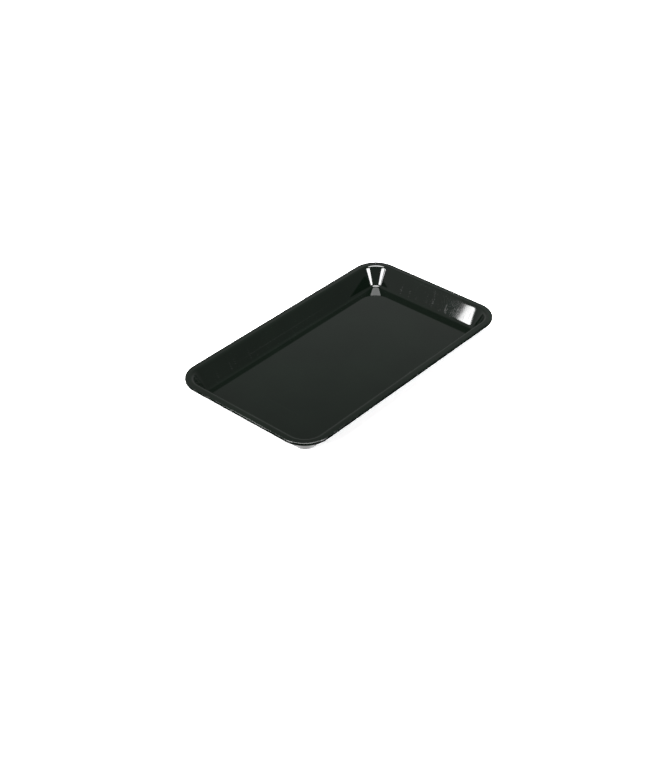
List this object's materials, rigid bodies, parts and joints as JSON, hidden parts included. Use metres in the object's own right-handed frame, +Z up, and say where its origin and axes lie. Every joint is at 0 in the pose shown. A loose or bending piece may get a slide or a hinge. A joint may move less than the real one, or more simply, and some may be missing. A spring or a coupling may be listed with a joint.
{
  "type": "paint tray",
  "caption": "Shallow rectangular tray with a flat floor, walls that slope out evenly all round, rounded corners and a narrow flat rim with a turned-down lip.",
  "frame": {"origin": "middle of the underside, in the plane that the tray rests on", "axes": "+X along the long sides, +Y along the short sides, +Z up out of the open top"},
  "size_m": [0.3, 0.1734, 0.0215],
  "materials": {
    "gloss_black": "high-gloss moulded plastic, black with a trace of green"
  },
  "bodies": {
    "root": {"tray": "gloss_black"}
  },
  "joints": []
}
